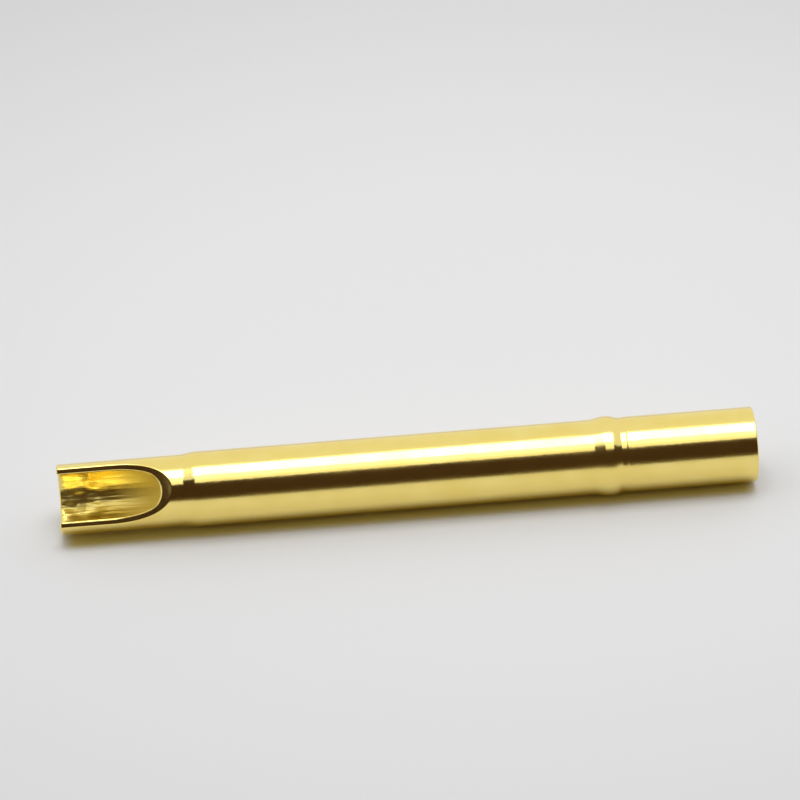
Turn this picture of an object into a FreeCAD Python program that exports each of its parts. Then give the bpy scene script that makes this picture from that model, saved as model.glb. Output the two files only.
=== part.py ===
import FreeCAD, Part
import math
import os

import Sketcher

# A turned and gold-plated brass receptacle for a spring-loaded test probe: a long thin
# tube, open at one end for the probe, with a press ring that grips the hole in a test
# plate and a scooped solder cup for the wire at the other end.
#
# Frame: millimetres, origin at the centre of the open mouth, +X out of the mouth, so the
# part runs along -X. +Z is up. It lies on its side with its axis level, and the scoop of
# its solder cup is rolled from straight up towards -Y.

SIZES = [
    # Lengths along the axis, from the mouth to the cup.
    ("overall_length", 21.80),
    ("collar_length", 4.04),
    ("relief_front_flank", 0.04),
    ("relief_width", 0.16),
    ("ring_front_flank", 0.24),
    ("ring_crown", 0.24),
    ("ring_back_flank", 0.40),
    ("neck_length", 0.36),
    # The bore sets the diameters. The wall stands on it, and the rest stands on the barrel.
    ("bore_diameter", 2.08),
    ("barrel_wall", 0.13),
    ("collar_rise", 0.01),
    ("relief_depth", 0.015),
    ("ring_height", 0.075),
    ("neck_drop", 0.055),
    ("cup_taper", 0.01),
    # The blind hole of the solder cup. The neck, the web behind the bore and the scoop are
    # placed from its round end.
    ("cup_wall", 0.205),
    ("cup_hole_depth", 3.80),
    ("cup_root_length", 0.10),
    ("web_thickness", 0.70),
    # The scoop that opens the cup: a flat over the axis that runs out on the cutter's arc.
    ("scoop_depth", 0.505),
    ("scoop_run_out", 2.21),
    ("scoop_cutter_radius", 4.00),
    ("scoop_roll_angle", 54.0),
    # Edges.
    ("mouth_chamfer", 0.05),
    ("mouth_round", 0.04),
    ("ring_round", 0.65),
    ("neck_round", 0.80),
    ("rim_flat", 0.035),
]

CUT_MARGIN = 1.0  # how far a cutting profile starts outside the stock
TOUCH = 1e-4  # two coordinates this close are the same place


class Length:
    """A length, as a number and as the expression over the sheet's sizes that gives it."""

    def __init__(self, value, text):
        self.value = value
        self.text = text

    def __add__(self, other):
        return Length(self.value + other.value, f"{self.text} + {other.text}")

    def __sub__(self, other):
        return Length(self.value - other.value, f"{self.text} - ({other.text})")

    def __truediv__(self, number):
        return Length(self.value / number, f"({self.text}) / {number}")


class Sizes:
    """Every size of the part: the named ones, and the places and radii that follow."""

    def __init__(self):
        for name, value in SIZES:
            setattr(self, name, Length(value, f"sizes.{name}"))
        self.cut_margin = Length(CUT_MARGIN, str(CUT_MARGIN))
        # Radii.
        self.bore_radius = self.bore_diameter / 2
        self.barrel_radius = self.bore_radius + self.barrel_wall
        self.collar_radius = self.barrel_radius + self.collar_rise
        self.relief_radius = self.collar_radius - self.relief_depth
        self.ring_radius = self.barrel_radius + self.ring_height
        self.cup_root_radius = self.barrel_radius - self.neck_drop
        self.cup_end_radius = self.cup_root_radius - self.cup_taper
        self.cup_hole_radius = self.cup_end_radius - self.cup_wall
        # Places, as distances behind the mouth.
        self.relief_start = self.collar_length + self.relief_front_flank
        self.ring_start = self.relief_start + self.relief_width
        self.crown_start = self.ring_start + self.ring_front_flank
        self.crown_end = self.crown_start + self.ring_crown
        self.barrel_start = self.crown_end + self.ring_back_flank
        self.cup_hole_end = self.overall_length - self.cup_hole_depth
        self.bore_depth = self.cup_hole_end - self.web_thickness
        self.cup_start = self.cup_hole_end - self.cup_root_length
        self.barrel_end = self.cup_start - self.neck_length
        self.scoop_flat_end = self.cup_hole_end + self.scoop_run_out
        # Heights over the axis, in the plane of the scoop.
        self.scoop_floor = self.cup_root_radius - self.scoop_depth
        self.rim_round = (self.cup_wall - self.rim_flat) / 2


def add_sheet(document):
    """Write each size once, as a plain number under its own name."""
    sheet = document.addObject("Spreadsheet::Sheet", "sizes")
    for row, (name, value) in enumerate(SIZES, start=1):
        sheet.set(f"A{row}", name)
        sheet.set(f"B{row}", str(value))
        sheet.setAlias(f"B{row}", name)
    document.recompute()


def add_sketch(body, role, name):
    """A sketch flat on one of the body's own origin planes."""
    plane = next(item for item in body.Origin.OriginFeatures if item.Role == role)
    sketch = body.newObject("Sketcher::SketchObject", name)
    sketch.AttachmentSupport = [(plane, "")]
    sketch.MapMode = "FlatFace"
    return sketch


def bind(sketch, kind, places, length):
    """Add a dimension to a sketch and tie it to the sizes."""
    index = sketch.addConstraint(Sketcher.Constraint(kind, *places, length.value))
    sketch.setExpression(f"Constraints[{index}]", length.text)


def put_point(sketch, line, end, behind_mouth, off_axis):
    """Place one end of a line. None puts it on the mouth's plane or on the axis."""
    if behind_mouth is None:
        sketch.addConstraint(Sketcher.Constraint("PointOnObject", line, end, -2))
    else:
        bind(sketch, "DistanceX", (line, end, -1, 1), behind_mouth)
    if off_axis is None:
        sketch.addConstraint(Sketcher.Constraint("PointOnObject", line, end, -1))
    else:
        bind(sketch, "DistanceY", (-1, 1, line, end), off_axis)


def vector(behind_mouth, off_axis):
    """A sketch point from two lengths, either of which may be None for zero."""
    along = -behind_mouth.value if behind_mouth else 0.0
    out = off_axis.value if off_axis else 0.0
    return FreeCAD.Vector(along, out, 0)


def turn_outside(body, size):
    """The outside, turned from bar: collar, relief, press ring, barrel, neck and cup."""
    corners = [
        (None, None),
        (None, size.collar_radius),
        (size.collar_length, size.collar_radius),
        (size.relief_start, size.relief_radius),
        (size.ring_start, size.relief_radius),
        (size.crown_start, size.ring_radius),
        (size.crown_end, size.ring_radius),
        (size.barrel_start, size.barrel_radius),
        (size.barrel_end, size.barrel_radius),
        (size.cup_start, size.cup_root_radius),
        (size.overall_length, size.cup_end_radius),
        (size.overall_length, None),
    ]
    sketch = add_sketch(body, "XZ_Plane", "outside_profile")
    following = corners[1:] + corners[:1]
    for start, end in zip(corners, following):
        sketch.addGeometry(Part.LineSegment(vector(*start), vector(*end)), False)
    for line in range(len(corners)):
        next_line = (line + 1) % len(corners)
        sketch.addConstraint(Sketcher.Constraint("Coincident", line, 2, next_line, 1))
    for line, corner in enumerate(corners):
        put_point(sketch, line, 1, *corner)
    turned = body.newObject("PartDesign::Revolution", "turned_outside")
    turned.Profile = sketch
    turned.ReferenceAxis = (sketch, ["H_Axis"])
    turned.Angle = 360.0


def drill_probe_bore(body, size):
    """The blind bore that the probe slides into, from the mouth to the web."""
    sketch = add_sketch(body, "YZ_Plane", "bore_circle")
    axis = FreeCAD.Vector(0, 0, 1)
    sketch.addGeometry(Part.Circle(FreeCAD.Vector(), axis, size.bore_radius.value), False)
    sketch.addConstraint(Sketcher.Constraint("Coincident", 0, 3, -1, 1))
    bind(sketch, "Radius", (0,), size.bore_radius)
    bore = body.newObject("PartDesign::Pocket", "probe_bore")
    bore.Profile = sketch
    bore.setExpression("Length", size.bore_depth.text)


def drill_cup_hole(body, size):
    """The blind, ball-ended hole of the solder cup, from the far end."""
    radius = size.cup_hole_radius
    outer = size.overall_length + size.cut_margin
    ball_centre = size.cup_hole_end + radius
    sketch = add_sketch(body, "XZ_Plane", "cup_hole_profile")
    corners = [(size.cup_hole_end, None), (outer, None), (outer, radius), (ball_centre, radius)]
    for start, end in zip(corners, corners[1:]):
        sketch.addGeometry(Part.LineSegment(vector(*start), vector(*end)), False)
    ball = Part.Circle(vector(ball_centre, None), FreeCAD.Vector(0, 0, 1), radius.value)
    sketch.addGeometry(Part.ArcOfCircle(ball, 0, math.pi / 2), False)
    axis_line, outer_line, wall_line, ball_arc = range(4)
    sketch.addConstraint([
        Sketcher.Constraint("Coincident", axis_line, 2, outer_line, 1),
        Sketcher.Constraint("Coincident", outer_line, 2, wall_line, 1),
        Sketcher.Constraint("Coincident", wall_line, 2, ball_arc, 2),
        Sketcher.Constraint("Coincident", ball_arc, 1, axis_line, 1),
        Sketcher.Constraint("PointOnObject", ball_arc, 3, -1),
        Sketcher.Constraint("Vertical", outer_line),
        Sketcher.Constraint("Horizontal", wall_line),
        Sketcher.Constraint("Vertical", ball_arc, 3, ball_arc, 2),
    ])
    put_point(sketch, axis_line, 1, size.cup_hole_end, None)
    put_point(sketch, axis_line, 2, outer, None)
    bind(sketch, "Radius", (ball_arc,), radius)
    hole = body.newObject("PartDesign::Groove", "cup_hole")
    hole.Profile = sketch
    hole.ReferenceAxis = (sketch, ["H_Axis"])
    hole.Angle = 360.0


def mill_scoop(body, size):
    """The scoop that opens the cup on one side. A round cutter crosses the tube, runs flat
    over the axis from the far end and leaves its own arc where it stops."""
    outer = size.overall_length + size.cut_margin
    stop = size.scoop_flat_end
    radius = size.scoop_cutter_radius
    floor = size.scoop_floor
    top = floor + radius
    cutter = Part.Circle(vector(stop, top), FreeCAD.Vector(0, 0, 1), radius.value)
    arc_end = vector(stop, top) + FreeCAD.Vector(radius.value, 0, 0)
    sketch = add_sketch(body, "XZ_Plane", "scoop_profile")
    sketch.addGeometry([
        Part.LineSegment(vector(outer, floor), vector(stop, floor)),
        Part.ArcOfCircle(cutter, -math.pi / 2, 0),
        Part.LineSegment(arc_end, vector(outer, top)),
        Part.LineSegment(vector(outer, top), vector(outer, floor)),
    ], False)
    flat_line, cutter_arc, top_line, outer_line = range(4)
    sketch.addConstraint([
        Sketcher.Constraint("Coincident", flat_line, 2, cutter_arc, 1),
        Sketcher.Constraint("Coincident", cutter_arc, 2, top_line, 1),
        Sketcher.Constraint("Coincident", top_line, 2, outer_line, 1),
        Sketcher.Constraint("Coincident", outer_line, 2, flat_line, 1),
        Sketcher.Constraint("Horizontal", flat_line),
        Sketcher.Constraint("Horizontal", top_line),
        Sketcher.Constraint("Vertical", outer_line),
        Sketcher.Constraint("Vertical", cutter_arc, 3, cutter_arc, 1),
        Sketcher.Constraint("Horizontal", cutter_arc, 3, cutter_arc, 2),
    ])
    put_point(sketch, flat_line, 2, stop, floor)
    bind(sketch, "DistanceX", (flat_line, 1, -1, 1), outer)
    bind(sketch, "Radius", (cutter_arc,), radius)
    scoop = body.newObject("PartDesign::Pocket", "scoop")
    scoop.Profile = sketch
    scoop.Type = "ThroughAll"
    scoop.Midplane = True


def dress_edges(body, kind, name, length, chosen):
    """Round or chamfer the edges of the body's last feature that a rule picks."""
    base = body.Tip
    edges = [f"Edge{number}" for number, edge in enumerate(base.Shape.Edges, start=1)
             if not edge.Degenerated and chosen(edge)]
    if not edges:
        raise RuntimeError(f"{name} found no edge to work on")
    dressed = body.newObject(f"PartDesign::{kind}", name)
    dressed.Base = (base, edges)
    dressed.setExpression("Radius" if kind == "Fillet" else "Size", length.text)
    body.Document.recompute()


def circles_at(*rings):
    """A rule that picks the circles about the axis with these places and radii."""
    def chosen(edge):
        if not isinstance(edge.Curve, Part.Circle):
            return False
        centre = edge.Curve.Center
        if math.hypot(centre.y, centre.z) > TOUCH:
            return False
        return any(abs(centre.x + place) < TOUCH and abs(edge.Curve.Radius - radius) < TOUCH
                   for place, radius in rings)
    return chosen


def cup_rim(size):
    """A rule that picks the rim of the cup: both edges of the scoop and of the end face."""
    end = -size.overall_length.value
    floor = size.scoop_floor.value
    radius = size.scoop_cutter_radius.value
    arc_x = -size.scoop_flat_end.value
    arc_z = floor + radius

    def on_scoop(point):
        if point.x <= arc_x + TOUCH:
            return abs(point.z - floor) < TOUCH
        return abs(math.hypot(point.x - arc_x, point.z - arc_z) - radius) < TOUCH

    def chosen(edge):
        points = edge.discretize(7)
        on_end = all(abs(point.x - end) < TOUCH for point in points)
        across = all(abs(point.x - arc_x) < TOUCH for point in points)
        return on_end or (all(on_scoop(point) for point in points) and not across)
    return chosen


def round_turned_edges(body, size):
    """Round the press ring and the neck, as the tool that turned them left them."""
    crown_start = (size.crown_start.value, size.ring_radius.value)
    crown_end = (size.crown_end.value, size.ring_radius.value)
    barrel_start = (size.barrel_start.value, size.barrel_radius.value)
    barrel_end = (size.barrel_end.value, size.barrel_radius.value)
    cup_start = (size.cup_start.value, size.cup_root_radius.value)
    dress_edges(body, "Fillet", "ring_edges", size.ring_round,
                circles_at(crown_start, crown_end, barrel_start))
    dress_edges(body, "Fillet", "neck_edges", size.neck_round, circles_at(barrel_end, cup_start))


def ease_mouth(body, size):
    """A lead-in for the probe, and a broken edge outside."""
    dress_edges(body, "Chamfer", "mouth_lead_in", size.mouth_chamfer,
                circles_at((0.0, size.bore_radius.value)))
    dress_edges(body, "Fillet", "mouth_edge", size.mouth_round,
                circles_at((0.0, size.collar_radius.value)))


def cut(body, feature, size, expected=None):
    """Make a cut and stop if it took away nothing, or not the hole that it stands for."""
    before = body.Shape.Volume
    feature(body, size)
    body.Document.recompute()
    removed = before - body.Shape.Volume
    if removed <= 0:
        raise RuntimeError(f"{feature.__name__} took nothing away")
    if expected is not None and abs(removed - expected) > 0.01 * expected:
        raise RuntimeError(f"{feature.__name__} took away {removed:.3f} mm3, not {expected:.3f} mm3")


def build_receptacle(document, size):
    body = document.addObject("PartDesign::Body", "receptacle")
    body.Label = "receptacle"
    turn_outside(body, size)
    document.recompute()
    round_turned_edges(body, size)
    bore_volume = math.pi * size.bore_radius.value ** 2 * size.bore_depth.value
    ball_radius = size.cup_hole_radius.value
    straight_depth = size.cup_hole_depth.value - ball_radius
    hole_volume = math.pi * ball_radius ** 2 * (straight_depth + 2 / 3 * ball_radius)
    cut(body, drill_probe_bore, size, bore_volume)
    ease_mouth(body, size)
    cut(body, drill_cup_hole, size, hole_volume)
    cut(body, mill_scoop, size)
    dress_edges(body, "Fillet", "rim_edges", size.rim_round, cup_rim(size))
    body.Placement.Rotation = FreeCAD.Rotation(FreeCAD.Vector(1, 0, 0), size.scoop_roll_angle.value)
    body.setExpression("Placement.Rotation.Angle", size.scoop_roll_angle.text)
    document.recompute()
    return body


def check_document(document, body):
    """Stop if any feature failed, or if the body isn't one sound solid."""
    for item in document.Objects:
        if "Invalid" in item.State or "Error" in item.State:
            raise RuntimeError(f"{item.Label} failed: {item.State}")
    if body.Shape.isNull() or not body.Shape.isValid() or len(body.Shape.Solids) != 1:
        raise RuntimeError(f"{body.Label} is not one valid solid")


document = FreeCAD.newDocument("probe_receptacle")
add_sheet(document)
receptacle = build_receptacle(document, Sizes())
check_document(document, receptacle)

os.makedirs("parts", exist_ok=True)
receptacle.Shape.exportStep(f"parts/{receptacle.Label}.step")
box = receptacle.Shape.optimalBoundingBox(False)
print(f"{receptacle.Label}: {box.XLength:.3f} x {box.YLength:.3f} x {box.ZLength:.3f} mm, "
      f"{receptacle.Shape.Volume:.3f} mm3, {len(receptacle.Shape.Faces)} faces")
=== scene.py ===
import bpy
import math
from mathutils import Matrix, Vector


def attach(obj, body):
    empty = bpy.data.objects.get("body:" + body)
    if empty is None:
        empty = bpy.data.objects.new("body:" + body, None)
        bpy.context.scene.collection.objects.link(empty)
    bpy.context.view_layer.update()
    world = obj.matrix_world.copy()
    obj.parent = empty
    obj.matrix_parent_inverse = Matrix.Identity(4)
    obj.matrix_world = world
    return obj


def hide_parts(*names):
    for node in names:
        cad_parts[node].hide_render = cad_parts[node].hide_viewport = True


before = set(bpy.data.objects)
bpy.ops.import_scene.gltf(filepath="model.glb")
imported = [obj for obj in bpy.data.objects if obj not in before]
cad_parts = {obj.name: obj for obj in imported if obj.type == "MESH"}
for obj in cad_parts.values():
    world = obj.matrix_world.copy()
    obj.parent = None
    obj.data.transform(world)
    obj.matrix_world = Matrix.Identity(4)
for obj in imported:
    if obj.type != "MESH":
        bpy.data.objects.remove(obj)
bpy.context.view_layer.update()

# Camera
# The photograph looks at the tube from the front and a third of the way up, with a long
# lens. The mouth, at the right, lies a little further off than the cup, and the picture
# leans.
MM = 0.001
OVERALL_LENGTH = 21.80  # of the tube, in millimetres, as all its sizes are
LENS_PIXELS = 4336.0  # focal length in pixels of the picture
PICTURE = 800.0  # its width and height, in pixels
SENSOR = 36.0
CAMERA_DISTANCE = 135.5 * MM
CAMERA_ELEVATION = math.radians(31.5)
CAMERA_YAW = math.radians(3.2)
CAMERA_LEAN = math.radians(2.9)
MIDDLE_ON_PICTURE = (407.4, 471.8)  # where the middle of the tube lies in the photograph
NEAREST_SEEN = 1 * MM
FARTHEST_SEEN = 20.0

tube_middle = Vector((-OVERALL_LENGTH * MM / 2, 0, 0))
towards_camera = Vector((-math.sin(CAMERA_YAW) * math.cos(CAMERA_ELEVATION),
                         -math.cos(CAMERA_YAW) * math.cos(CAMERA_ELEVATION),
                         math.sin(CAMERA_ELEVATION)))
level_right = Vector((0, 0, 1)).cross(towards_camera).normalized()
level_up = towards_camera.cross(level_right)
camera_right = level_right * math.cos(CAMERA_LEAN) - level_up * math.sin(CAMERA_LEAN)
camera_up = level_up * math.cos(CAMERA_LEAN) + level_right * math.sin(CAMERA_LEAN)
metres_per_pixel = CAMERA_DISTANCE / LENS_PIXELS
off_centre = (camera_right * (PICTURE / 2 - MIDDLE_ON_PICTURE[0])
              + camera_up * (MIDDLE_ON_PICTURE[1] - PICTURE / 2)) * metres_per_pixel
camera_place = tube_middle + towards_camera * CAMERA_DISTANCE + off_centre
turn = Matrix((camera_right, camera_up, towards_camera)).transposed().to_4x4()

bpy.ops.object.camera_add()
camera = bpy.context.object
camera.name = "camera"
camera.matrix_world = Matrix.Translation(camera_place) @ turn
camera.data.sensor_width = SENSOR
camera.data.lens = LENS_PIXELS / PICTURE * SENSOR
camera.data.clip_start = NEAREST_SEEN
camera.data.clip_end = FARTHEST_SEEN
bpy.context.scene.camera = camera

# Floor
# A pale, matt sheet that the tube lies on. It runs far back, so that it is also the
# background. Close to the tube, painted gold light and painted shade stand for the light that
# the tube throws down and the shade under it; far from the tube it is painted darker.
CROWN_RADIUS = 1.245  # of the press ring, the widest part, which the tube lies on
FLOOR_SIZE = 4.0
FLOOR_COLOUR = (0.735, 0.735, 0.74, 1)
PAINTED_DIM_COLOUR = (0.50, 0.50, 0.505, 1)  # painted shade far from the tube, where less light falls on it
BRIGHT_MIDDLE = (-8 * MM, 9 * MM, 0)
DIM_FROM = 6 * MM
DIM_AT = 62 * MM
PAPER_ROUGHNESS = 0.9
PAPER_SHINE = 0.1
# painted gold light and painted shade, in a band on the floor under the tube
PAINTED_GOLD_LIGHT_AND_SHADE_COLOUR = (0.66, 0.57, 0.19, 1)
PAINTED_GOLD_LIGHT_AND_SHADE_EDGES = (("Y", -1.08 * MM, -0.60 * MM), ("Y", 1.08 * MM, 0.60 * MM),
                ("X", -21.9 * MM, -21.3 * MM), ("X", 0.1 * MM, -0.4 * MM))


def finish(name):
    """A new material, its node tree, its shader and the place on the piece."""
    material = bpy.data.materials.new(name)
    material.use_nodes = True
    tree = material.node_tree
    shader = tree.nodes["Principled BSDF"]
    return material, tree, shader, tree.nodes.new("ShaderNodeTexCoord").outputs["Object"]


def axes_of(tree, vector):
    split = tree.nodes.new("ShaderNodeSeparateXYZ")
    tree.links.new(vector, split.inputs["Vector"])
    return split.outputs


def spread(tree, value, start, end, low=0.0, high=1.0, smooth=False):
    """Turn the values from start to end into those from low to high."""
    stretch = tree.nodes.new("ShaderNodeMapRange")
    if smooth:
        stretch.interpolation_type = "SMOOTHSTEP"
    stretch.inputs["From Min"].default_value = start
    stretch.inputs["From Max"].default_value = end
    stretch.inputs["To Min"].default_value = low
    stretch.inputs["To Max"].default_value = high
    tree.links.new(value, stretch.inputs["Value"])
    return stretch.outputs["Result"]


def times(tree, first, second):
    product = tree.nodes.new("ShaderNodeMath")
    product.operation = "MULTIPLY"
    tree.links.new(first, product.inputs[0])
    tree.links.new(second, product.inputs[1])
    return product.outputs["Value"]


def blend(tree, share, first, second):
    """Mix two colours, each a constant or another node's output."""
    mix = tree.nodes.new("ShaderNodeMix")
    mix.data_type = "RGBA"
    tree.links.new(share, mix.inputs["Factor"])
    for socket, colour in ((mix.inputs[6], first), (mix.inputs[7], second)):
        if isinstance(colour, tuple):
            socket.default_value = colour
        else:
            tree.links.new(colour, socket)
    return mix.outputs[2]


bpy.ops.mesh.primitive_plane_add(size=FLOOR_SIZE, location=(0, 0, -CROWN_RADIUS * MM))
floor = bpy.context.object
floor.name = "floor"
paper, tree, shader, place = finish("matt_paper")
axes = axes_of(tree, place)
# the mask of the painted gold light and painted shade under the tube
painted_gold_light_and_shade = None
for axis, clear, full in PAINTED_GOLD_LIGHT_AND_SHADE_EDGES:
    edge = spread(tree, axes[axis], clear, full, smooth=True)
    painted_gold_light_and_shade = edge if painted_gold_light_and_shade is None else times(tree, painted_gold_light_and_shade, edge)
# painted shade: the floor is painted darker with distance from its bright middle
far = tree.nodes.new("ShaderNodeVectorMath")
far.operation = "DISTANCE"
far.inputs[1].default_value = BRIGHT_MIDDLE
tree.links.new(place, far.inputs[0])
painted_dimming = spread(tree, far.outputs["Value"], DIM_FROM, DIM_AT, smooth=True)
painted_dim_floor = blend(tree, painted_dimming, FLOOR_COLOUR, PAINTED_DIM_COLOUR)
tree.links.new(blend(tree, painted_gold_light_and_shade, painted_dim_floor, PAINTED_GOLD_LIGHT_AND_SHADE_COLOUR), shader.inputs["Base Color"])
shader.inputs["Roughness"].default_value = PAPER_ROUGHNESS
shader.inputs["Specular IOR Level"].default_value = PAPER_SHINE
floor.data.materials.append(paper)

# Light
# One softbox overhead, a fainter glow and a fill lower in front, and a pale room all round.
# Dark cloth hangs behind the camera and lies on the floor in front of the tube, whose
# polish shows it as a dark band.
LAMP_DISTANCE = 0.30
SOFTBOX_ELEVATION = math.radians(87)
SOFTBOX_LENGTH = 0.20
SOFTBOX_SHIFT = 0.026  # towards the mouth
SOFTBOX_HEIGHT = 0.155
SOFTBOX_RADIANCE = 3.4
GLOW_ELEVATION = math.radians(59.8)
GLOW_LENGTH = 0.17
GLOW_SHIFT = 0.035
GLOW_HEIGHT = 0.091
GLOW_RADIANCE = 1.15
FILL_ELEVATION = math.radians(48)
FILL_LENGTH = 0.60
FILL_RADIANCE = 0.62
ROOM_COLOUR = (0.86, 0.865, 0.87, 1)
CLOTH_DARK = (0.040, 0.026, 0.012, 1)
CLOTH_BROWN = (0.100, 0.050, 0.030, 1)
HEM_COLOUR = (0.20, 0.16, 0.10, 1)
DYE_SCALE = 60.0
DYE_DETAIL = 2.0
CLOTH_DISTANCE = 0.35
CLOTH_LENGTH = 1.60
CLOTH_TOP = math.radians(63.5)
CLOTH_LYING = 0.342  # the part that lies on the floor in front
CLOTH_LIFT = 0.5 * MM
PALE_HEM = 0.045  # the height over which the hanging part grows paler, down to the floor
THIN_EDGE = 0.062  # the length over which the lying part grows thinner, towards the tube
HALF = 0.5  # from a cloth's middle to its edge, before it is stretched to its size


def long_lamp(name, elevation, length, height, radiance):
    """A lamp along the tube, seen from it at this elevation in front."""
    bpy.ops.object.light_add(type="AREA")
    lamp = bpy.context.object
    lamp.name = name
    lamp.data.shape = "RECTANGLE"
    lamp.data.size = length
    lamp.data.size_y = height
    lamp.data.energy = radiance * math.pi * length * height
    away = Vector((0, -math.cos(elevation), math.sin(elevation)))
    lamp.location = tube_middle + away * LAMP_DISTANCE
    lamp.rotation_euler = (math.pi / 2 - elevation, 0, 0)
    return lamp


softbox = long_lamp("softbox", SOFTBOX_ELEVATION, SOFTBOX_LENGTH, SOFTBOX_HEIGHT,
                    SOFTBOX_RADIANCE)
softbox.location.x += SOFTBOX_SHIFT
glow = long_lamp("glow", GLOW_ELEVATION, GLOW_LENGTH, GLOW_HEIGHT, GLOW_RADIANCE)
glow.visible_diffuse = False
glow.location.x += GLOW_SHIFT
fill = long_lamp("fill", FILL_ELEVATION, FILL_LENGTH, SOFTBOX_HEIGHT, FILL_RADIANCE)
fill.visible_glossy = False


def noise(tree, vector, detail, scale=1.0):
    texture = tree.nodes.new("ShaderNodeTexNoise")
    texture.inputs["Scale"].default_value = scale
    texture.inputs["Detail"].default_value = detail
    tree.links.new(vector, texture.inputs["Vector"])
    return texture.outputs["Fac"]


def dark_cloth(name):
    """Brown-black cloth whose dye varies from place to place."""
    cloth, tree, shader, place = finish(name)
    shader.inputs["Roughness"].default_value = 1.0
    shader.inputs["Specular IOR Level"].default_value = 0.0
    dye = noise(tree, place, DYE_DETAIL, DYE_SCALE)
    return cloth, tree, shader, blend(tree, dye, CLOTH_DARK, CLOTH_BROWN), axes_of(tree, place)


cloth_height = CLOTH_DISTANCE * math.tan(CLOTH_TOP)
bpy.ops.mesh.primitive_plane_add(size=2 * HALF, rotation=(math.pi / 2, 0, 0),
                                 location=(0, -CLOTH_DISTANCE, cloth_height / 2))
hanging = bpy.context.object
hanging.name = "hanging_cloth"
hanging.scale = (CLOTH_LENGTH, cloth_height, 1)
hanging.visible_camera = False
cloth, tree, shader, tint, axes = dark_cloth("hanging_cloth")
hem = spread(tree, axes["Y"], PALE_HEM / cloth_height - HALF, -HALF)
tree.links.new(blend(tree, hem, tint, HEM_COLOUR), shader.inputs["Base Color"])
hanging.data.materials.append(cloth)

# The lying part shows in reflections only, so the floor keeps its own pale light.
bpy.ops.mesh.primitive_plane_add(size=2 * HALF, location=(0, -CLOTH_DISTANCE + CLOTH_LYING / 2,
                                                          CLOTH_LIFT - CROWN_RADIUS * MM))
lying = bpy.context.object
lying.name = "lying_cloth"
lying.scale = (CLOTH_LENGTH, CLOTH_LYING, 1)
lying.visible_camera = False
lying.visible_diffuse = False
lying.visible_shadow = False
cloth, tree, shader, tint, axes = dark_cloth("lying_cloth")
tree.links.new(tint, shader.inputs["Base Color"])
thinning = spread(tree, axes["Y"], HALF, HALF - THIN_EDGE / CLOTH_LYING)
tree.links.new(thinning, shader.inputs["Alpha"])
lying.data.materials.append(cloth)

world = bpy.data.worlds.new("pale_room")
bpy.context.scene.world = world
world.use_nodes = True
world.node_tree.nodes["Background"].inputs["Color"].default_value = ROOM_COLOUR

bpy.context.scene.view_settings.view_transform = "Standard"

# Receptacle
# A thin tube turned from brass bar and plated with gold: a bore for the probe at the mouth,
# a press ring, and at the far end a drilled solder cup that a cutter opened on one side.
# Its surfaces are laid here as fine skins, so that the polish shows no facets.
RELIEF_START = 4.08
RELIEF_END = 4.24
CROWN_START = 4.48
CROWN_END = 4.72
BARREL_START = 5.12
BARREL_END = 17.54
CUP_START = 17.90
COLLAR_LENGTH = 4.04
BORE_DEPTH = 17.30
COLLAR_RADIUS = 1.18
RELIEF_RADIUS = 1.165
BARREL_RADIUS = 1.17
CUP_ROOT_RADIUS = 1.115
CUP_END_RADIUS = 1.105
BORE_RADIUS = 1.04
MOUTH_CHAMFER = 0.05
MOUTH_ROUND = 0.04
RING_ROUND = 0.65
NECK_ROUND = 0.80
HOLE_RADIUS = 0.90
HOLE_DEPTH = 3.80
SCOOP_FLOOR = 0.61
SCOOP_FLAT = 1.59
CUTTER_RADIUS = 4.00
RIM_ROUND = 0.065
SCOOP_ROLL = math.radians(54.0)
BALL_X = HOLE_DEPTH - OVERALL_LENGTH - HOLE_RADIUS  # the centre of the hole's ball end

AROUND = 160  # steps round the tube
ALONG = 110  # steps along the scoop, from the end face to its tip
RIM_STEPS = 6  # steps over each rounded edge of the rim
LAND_STEPS = 6  # steps across the cut face between them
CORNER_STEPS = 8  # where the end face turns into the scoop
BALL_STEPS = 30  # over the hole's ball end
ARC_STEPS = 8  # over each rounded corner of the turned outside
LONGEST_RUN = 0.25  # between two rings of points there
HALVINGS = 60  # in the search for the scoop's tip
SAME_POINT = 2e-8  # points this close, in metres, are merged
NO_LENGTH = 1e-9
SMOOTH_TO = math.radians(16)  # edges that turn by more than this stay sharp


def rounded(corner, before, after, radius):
    """The arc that rounds a corner of a profile, as a list of points."""
    here, back, on = Vector(corner), Vector(before), Vector(after)
    back_way = (back - here).normalized()
    on_way = (on - here).normalized()
    half = back_way.angle(on_way) / 2
    middle = here + (back_way + on_way).normalized() * radius / math.sin(half)
    start = here + back_way * radius / math.tan(half) - middle
    end = here + on_way * radius / math.tan(half) - middle
    return [middle + start.slerp(end, step / ARC_STEPS) * radius
            for step in range(ARC_STEPS + 1)]


def runs_between(points, longest):
    """Extra points along the straight runs, so that no run is longer than this."""
    filled = [points[0]]
    for point in points[1:]:
        last = filled[-1]
        steps = max(1, math.ceil((point - last).length / longest))
        filled += [last.lerp(point, step / steps) for step in range(1, steps + 1)]
    return filled


def cut_height(x, drop=0.0):
    """How high over the axis the scoop's face is at x, or a ball's centre this far under it."""
    flat_end = SCOOP_FLAT - OVERALL_LENGTH
    if x <= flat_end:
        return SCOOP_FLOOR - drop
    radius = CUTTER_RADIUS + drop
    return SCOOP_FLOOR + CUTTER_RADIUS - math.sqrt(radius ** 2 - (x - flat_end) ** 2)


def cut_normal(x, height):
    """The direction out of the scoop's face, from a ball's centre under it."""
    flat_end = SCOOP_FLAT - OVERALL_LENGTH
    if x <= flat_end:
        return Vector((0, 0, 1))
    return Vector((flat_end - x, 0, SCOOP_FLOOR + CUTTER_RADIUS - height)).normalized()


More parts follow.
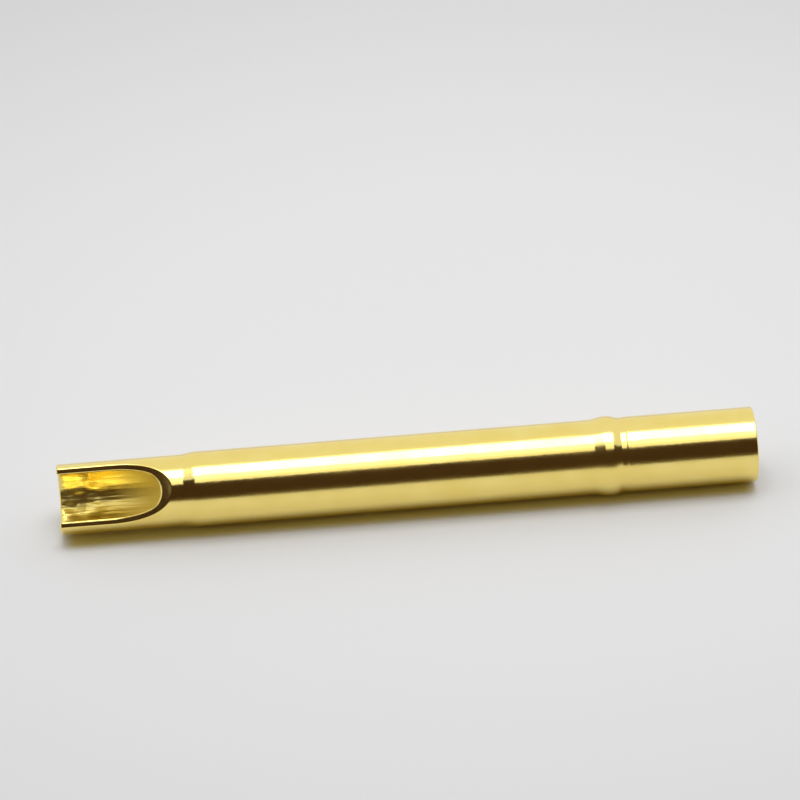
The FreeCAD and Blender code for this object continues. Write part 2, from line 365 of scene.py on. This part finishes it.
def outside_radius(x):
    share = (-x - CUP_START) / (OVERALL_LENGTH - CUP_START)
    return CUP_ROOT_RADIUS + (CUP_END_RADIUS - CUP_ROOT_RADIUS) * share


def outer_track(x):
    """Distance from the axis of the ball that rolls along the rim's outer edge."""
    return outside_radius(x) - RIM_ROUND


def inner_track(x):
    """The same for its inner edge, round the hole and its ball end."""
    reach = HOLE_RADIUS + RIM_ROUND
    if x <= BALL_X:
        return reach
    return math.sqrt(max(0.0, reach ** 2 - (x - BALL_X) ** 2))


def tip_of(track, low, high):
    """Where a track meets the scoop's face on the centre line."""
    for _ in range(HALVINGS):
        x = (low + high) / 2
        if cut_height(x, RIM_ROUND) < track(x):
            low = x
        else:
            high = x
    return (low + high) / 2


def opening_angle(track, x):
    return math.acos(min(1.0, cut_height(x, RIM_ROUND) / track(x)))


def on_circle(x, radius, angle):
    """A point round the axis, its angle counted from the middle of the scoop."""
    return Vector((x, radius * math.sin(angle), radius * math.cos(angle)))


def stations(track, tip):
    """Places along a track, closer together near its tip, with the opening's angle there."""
    start = RIM_ROUND - OVERALL_LENGTH
    places = []
    for step in range(ALONG + 1):
        x = tip - (tip - start) * (1 - step / ALONG) ** 2
        angle = 0.0 if step == ALONG else opening_angle(track, x)
        places.append((x, angle))
    return places


def angles_round(opening):
    """The angles of one column of skin, from one edge of the opening to the other."""
    return [opening + (2 * math.pi - 2 * opening) * step / AROUND for step in range(AROUND + 1)]


def lay_skin(name, rows):
    """Lay a skin of four-sided faces over rows of points."""
    vertices = [point * MM for row in rows for point in row]
    wide = len(rows[0])
    faces = []
    for row in range(len(rows) - 1):
        for place in range(wide - 1):
            here = row * wide + place
            faces.append((here, here + 1, here + 1 + wide, here + wide))
    mesh = bpy.data.meshes.new(name)
    mesh.from_pydata(vertices, [], faces)
    skin = bpy.data.objects.new(name, mesh)
    bpy.context.collection.objects.link(skin)
    return skin


outer_tip = tip_of(outer_track, SCOOP_FLAT - OVERALL_LENGTH, -CUP_START)
inner_tip = tip_of(inner_track, SCOOP_FLAT - OVERALL_LENGTH, BALL_X + HOLE_RADIUS)
outer_places = stations(outer_track, outer_tip)
inner_places = stations(inner_track, inner_tip)

# The turned outside, from the scoop's tip to the mouth, then the bore: the place of each
# corner along the axis, its radius, and how far it is rounded.
profile = [Vector((outer_tip, outside_radius(outer_tip), 0))]
corners = [
    (-CUP_START, CUP_ROOT_RADIUS, NECK_ROUND),
    (-BARREL_END, BARREL_RADIUS, NECK_ROUND),
    (-BARREL_START, BARREL_RADIUS, RING_ROUND),
    (-CROWN_END, CROWN_RADIUS, RING_ROUND),
    (-CROWN_START, CROWN_RADIUS, RING_ROUND),
    (-RELIEF_END, RELIEF_RADIUS, 0),
    (-RELIEF_START, RELIEF_RADIUS, 0),
    (-COLLAR_LENGTH, COLLAR_RADIUS, 0),
    (0, COLLAR_RADIUS, MOUTH_ROUND),
    (0, BORE_RADIUS + MOUTH_CHAMFER, 0),
    (-MOUTH_CHAMFER, BORE_RADIUS, 0),
    (-BORE_DEPTH, BORE_RADIUS, 0),
    (-BORE_DEPTH, 0, 0),
]
points = [Vector((x, radius, 0)) for x, radius, _ in corners]
for number, (_, _, rounding) in enumerate(corners):
    if rounding:
        before = points[number - 1] if number else profile[0]
        profile += rounded(points[number], before, points[number + 1], rounding)
    else:
        profile.append(points[number])
profile = runs_between(profile, LONGEST_RUN)
turned_rows = [[on_circle(point.x, point.y, angle) for angle in angles_round(0)]
               for point in profile]

cup_outside = [[on_circle(x, outside_radius(x), angle) for angle in angles_round(opening)]
               for x, opening in outer_places]

cup_inside = []
shrink = HOLE_RADIUS / (HOLE_RADIUS + RIM_ROUND)
for x, opening in inner_places:
    wall_x = x if x <= BALL_X else BALL_X + (x - BALL_X) * shrink
    cup_inside.append([on_circle(wall_x, inner_track(x) * shrink, angle)
                       for angle in angles_round(opening)])
tip_slope = math.acos((inner_tip - BALL_X) / (HOLE_RADIUS + RIM_ROUND))
for step in range(1, BALL_STEPS + 1):
    slope = tip_slope * (1 - step / BALL_STEPS)
    cup_inside.append([on_circle(BALL_X + HOLE_RADIUS * math.cos(slope),
                                 HOLE_RADIUS * math.sin(slope), angle)
                       for angle in angles_round(0)])


def rung(outer, inner, outer_way, inner_way, over_scoop):
    """One line of points over the rim, from the outside wall to the inside wall."""
    outer_centre, outer_normal = outer
    inner_centre, inner_normal = inner
    points = []
    for step in range(RIM_STEPS + 1):
        points.append(outer_centre
                      + outer_way.slerp(outer_normal, step / RIM_STEPS) * RIM_ROUND)
    first = outer_centre + outer_normal * RIM_ROUND
    last = inner_centre + inner_normal * RIM_ROUND
    for step in range(1, LAND_STEPS):
        point = first.lerp(last, step / LAND_STEPS)
        if over_scoop:
            point.z = cut_height(point.x)
        points.append(point)
    for step in range(RIM_STEPS + 1):
        points.append(inner_centre
                      + inner_normal.slerp(inner_way, step / RIM_STEPS) * RIM_ROUND)
    return points


def way_round(angle):
    return Vector((0, math.sin(angle), math.cos(angle)))


half_rim = []
start_x, outer_open = outer_places[0]
_, inner_open = inner_places[0]
END_WAY = Vector((-1, 0, 0))
for step in range(AROUND // 2 + 1):
    share = 1 - step / (AROUND // 2)
    outer_angle = outer_open + (math.pi - outer_open) * share
    inner_angle = inner_open + (math.pi - inner_open) * share
    outer_centre = on_circle(start_x, outer_track(start_x), outer_angle)
    inner_centre = on_circle(start_x, inner_track(start_x), inner_angle)
    half_rim.append(rung((outer_centre, END_WAY), (inner_centre, END_WAY),
                         way_round(outer_angle), -way_round(inner_angle), False))
for step in range(1, CORNER_STEPS):
    normal = END_WAY.slerp(Vector((0, 0, 1)), step / CORNER_STEPS)
    outer_centre = on_circle(start_x, outer_track(start_x), outer_open)
    inner_centre = on_circle(start_x, inner_track(start_x), inner_open)
    half_rim.append(rung((outer_centre, normal), (inner_centre, normal),
                         way_round(outer_open), -way_round(inner_open), False))
for (outer_x, outer_angle), (inner_x, inner_angle) in zip(outer_places, inner_places):
    outer_centre = on_circle(outer_x, outer_track(outer_x), outer_angle)
    inner_centre = on_circle(inner_x, inner_track(inner_x), inner_angle)
    to_wall = -way_round(inner_angle)
    if inner_x > BALL_X:
        to_wall = (Vector((BALL_X, 0, 0)) - inner_centre).normalized()
    half_rim.append(rung((outer_centre, cut_normal(outer_x, outer_centre.z)),
                         (inner_centre, cut_normal(inner_x, inner_centre.z)),
                         way_round(outer_angle), to_wall, True))
other_half = [[Vector((point.x, -point.y, point.z)) for point in row]
              for row in reversed(half_rim)]

skins = [
    lay_skin("receptacle_visual", cup_outside + turned_rows[1:]),
    lay_skin("cup_inside", cup_inside),
    lay_skin("cup_rim", half_rim + other_half[1:]),
]
bpy.ops.object.select_all(action="DESELECT")
for skin in skins:
    skin.select_set(True)
bpy.context.view_layer.objects.active = skins[0]
bpy.ops.object.join()
receptacle = bpy.context.object
receptacle.data.transform(Matrix.Rotation(SCOOP_ROLL, 4, "X"))
bpy.ops.object.mode_set(mode="EDIT")
bpy.ops.mesh.select_all(action="SELECT")
bpy.ops.mesh.remove_doubles(threshold=SAME_POINT)
bpy.ops.mesh.dissolve_degenerate(threshold=NO_LENGTH)
bpy.ops.mesh.normals_make_consistent(inside=False)
bpy.ops.object.mode_set(mode="OBJECT")
bpy.ops.object.shade_smooth_by_angle(angle=SMOOTH_TO)

# The plating: polished outside, duller and streaked by the drill in the cup, where it is
# beaten near the open end and matt at the ball end.
GOLD_PALE = (0.98, 0.79, 0.25, 1)
GOLD_DEEP = (0.95, 0.74, 0.21, 1)
GOLD_INSIDE = (0.93, 0.77, 0.24, 1)
CLOUD_SCALE = 900.0  # features of about a millimetre
CLOUD_DETAIL = 2.0
CLOUD_TINT = (0.35, 0.65)  # the part of the clouds over which the tint changes
CLOUD_POLISH = (0.3, 0.7)  # and the polish
POLISH = (0.12, 0.18)  # roughness, at the smoothest and at the dullest
GRAIN_SCALE = 9000.0  # features of about a tenth
GRAIN_DETAIL = 3.0
GRAIN_DEPTH = 1.6e-6
TURNING_SCALE = (12000.0, 150.0, 150.0)  # turning marks: close together along the tube
TURNING_DETAIL = 2.0
TURNING_DEPTH = 0.5e-6
EDGE = 0.03  # from the hole's wall out to where the polish is full again
INSIDE_ROUGHNESS = 0.28
STREAK_SCALE = (500.0, 6000.0, 6000.0)  # the drill's streaks: long down the cup
STREAK_DETAIL = 2.0
STREAK_DEPTH = 3e-5
FROSTED = (-20.1, -18.8)  # where the ball end turns matt, along the axis
FROST_ROUGHNESS = 0.42
FROST_METAL = 0.15  # how much of the matt part still shines like metal
FROST_COLOUR = (1.0, 0.86, 0.27, 1)
DENTED = (-20.0, -20.7)  # where the cup's floor is beaten about, near its open end
DENT_SCALE = 1350.0
DENT_DETAIL = 1.0
DENT_DEPTH = 2.3e-4


def stretched(tree, vector, scale):
    """The place on the piece, with a scale of its own along each axis."""
    mapping = tree.nodes.new("ShaderNodeMapping")
    mapping.inputs["Scale"].default_value = scale
    tree.links.new(vector, mapping.inputs["Vector"])
    return mapping.outputs["Vector"]


def bump(tree, height, depth, after=None, strength=None):
    """Raise the surface by a height, over an earlier bump, where the strength lets it."""
    relief = tree.nodes.new("ShaderNodeBump")
    relief.inputs["Strength"].default_value = 1.0
    if strength is not None:
        tree.links.new(strength, relief.inputs["Strength"])
    relief.inputs["Distance"].default_value = depth
    tree.links.new(height, relief.inputs["Height"])
    if after is not None:
        tree.links.new(after, relief.inputs["Normal"])
    return relief.outputs["Normal"]


gold, tree, shader, place = finish("polished_gold")
axes = axes_of(tree, place)
across = tree.nodes.new("ShaderNodeCombineXYZ")
tree.links.new(axes["Y"], across.inputs["Y"])
tree.links.new(axes["Z"], across.inputs["Z"])
reach = tree.nodes.new("ShaderNodeVectorMath")
reach.operation = "LENGTH"
tree.links.new(across.outputs["Vector"], reach.inputs[0])
inside = spread(tree, reach.outputs["Value"], (HOLE_RADIUS + EDGE) * MM, HOLE_RADIUS * MM)
frost = spread(tree, axes["X"], FROSTED[0] * MM, FROSTED[1] * MM)
beaten = spread(tree, axes["X"], DENTED[0] * MM, DENTED[1] * MM)
clouds = noise(tree, place, CLOUD_DETAIL, CLOUD_SCALE)

plating = blend(tree, spread(tree, clouds, *CLOUD_TINT), GOLD_PALE, GOLD_DEEP)
cup_gold = blend(tree, frost, GOLD_INSIDE, FROST_COLOUR)
tree.links.new(blend(tree, inside, plating, cup_gold), shader.inputs["Base Color"])

metal = spread(tree, times(tree, frost, inside), 0.0, 1.0, 1.0, FROST_METAL)
tree.links.new(metal, shader.inputs["Metallic"])

dulled = tree.nodes.new("ShaderNodeMix")
tree.links.new(inside, dulled.inputs[0])
tree.links.new(spread(tree, clouds, *CLOUD_POLISH, *POLISH), dulled.inputs[2])
tree.links.new(spread(tree, frost, 0.0, 1.0, INSIDE_ROUGHNESS, FROST_ROUGHNESS),
               dulled.inputs[3])
tree.links.new(dulled.outputs[0], shader.inputs["Roughness"])

turning = noise(tree, stretched(tree, place, TURNING_SCALE), TURNING_DETAIL)
streaks = noise(tree, stretched(tree, place, STREAK_SCALE), STREAK_DETAIL)
dents = noise(tree, place, DENT_DETAIL, DENT_SCALE)
grain = noise(tree, place, GRAIN_DETAIL, GRAIN_SCALE)
surface = bump(tree, turning, TURNING_DEPTH)
surface = bump(tree, streaks, STREAK_DEPTH, surface, inside)
surface = bump(tree, dents, DENT_DEPTH, surface, times(tree, beaten, inside))
surface = bump(tree, grain, GRAIN_DEPTH, surface)
tree.links.new(surface, shader.inputs["Normal"])
receptacle.data.materials.append(gold)
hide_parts("receptacle")
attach(receptacle, "root")
